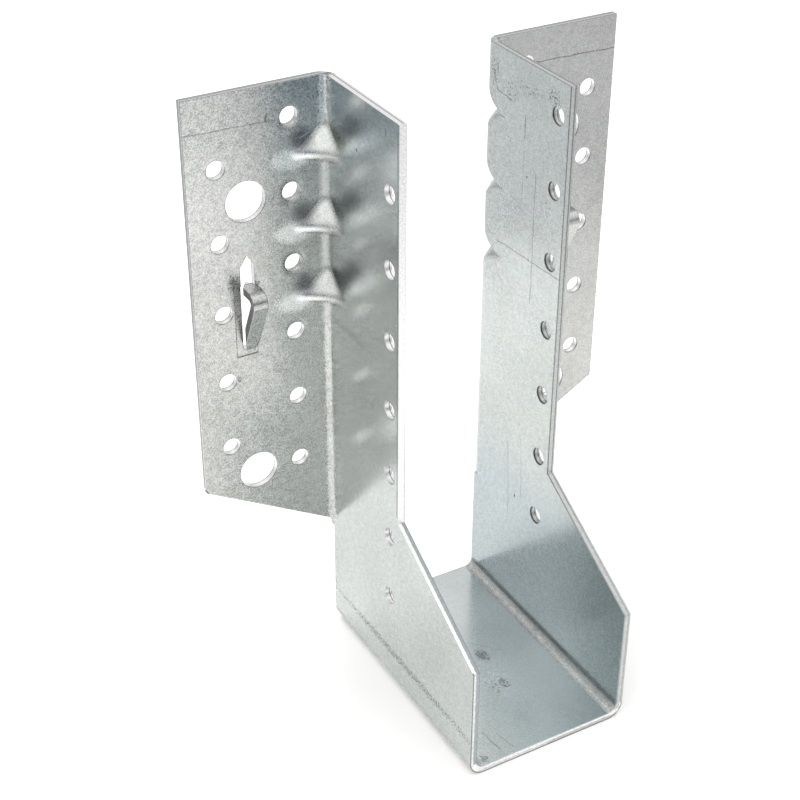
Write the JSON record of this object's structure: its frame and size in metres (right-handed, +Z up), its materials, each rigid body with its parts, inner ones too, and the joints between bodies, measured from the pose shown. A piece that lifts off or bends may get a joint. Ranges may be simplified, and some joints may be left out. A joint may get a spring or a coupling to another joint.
{
  "type": "joist hanger",
  "caption": "Folded sheet steel joist hanger: a deep U-shaped seat for a timber joist between side plates, with nail and bolt holes in flanges that fix to a header.",
  "frame": {"origin": "bottom centre: the middle of the hanger's footprint, on the underside of the seat", "axes": "+Z up the hanger, +Y back towards the header whose face the flanges lie on, X across the width"},
  "size_m": [0.125, 0.077, 0.17],
  "materials": {
    "galvanised_sheet": "hot-dip galvanised, satin with a fine spangle"
  },
  "bodies": {
    "root": {"hanger": "galvanised_sheet"}
  },
  "joints": []
}
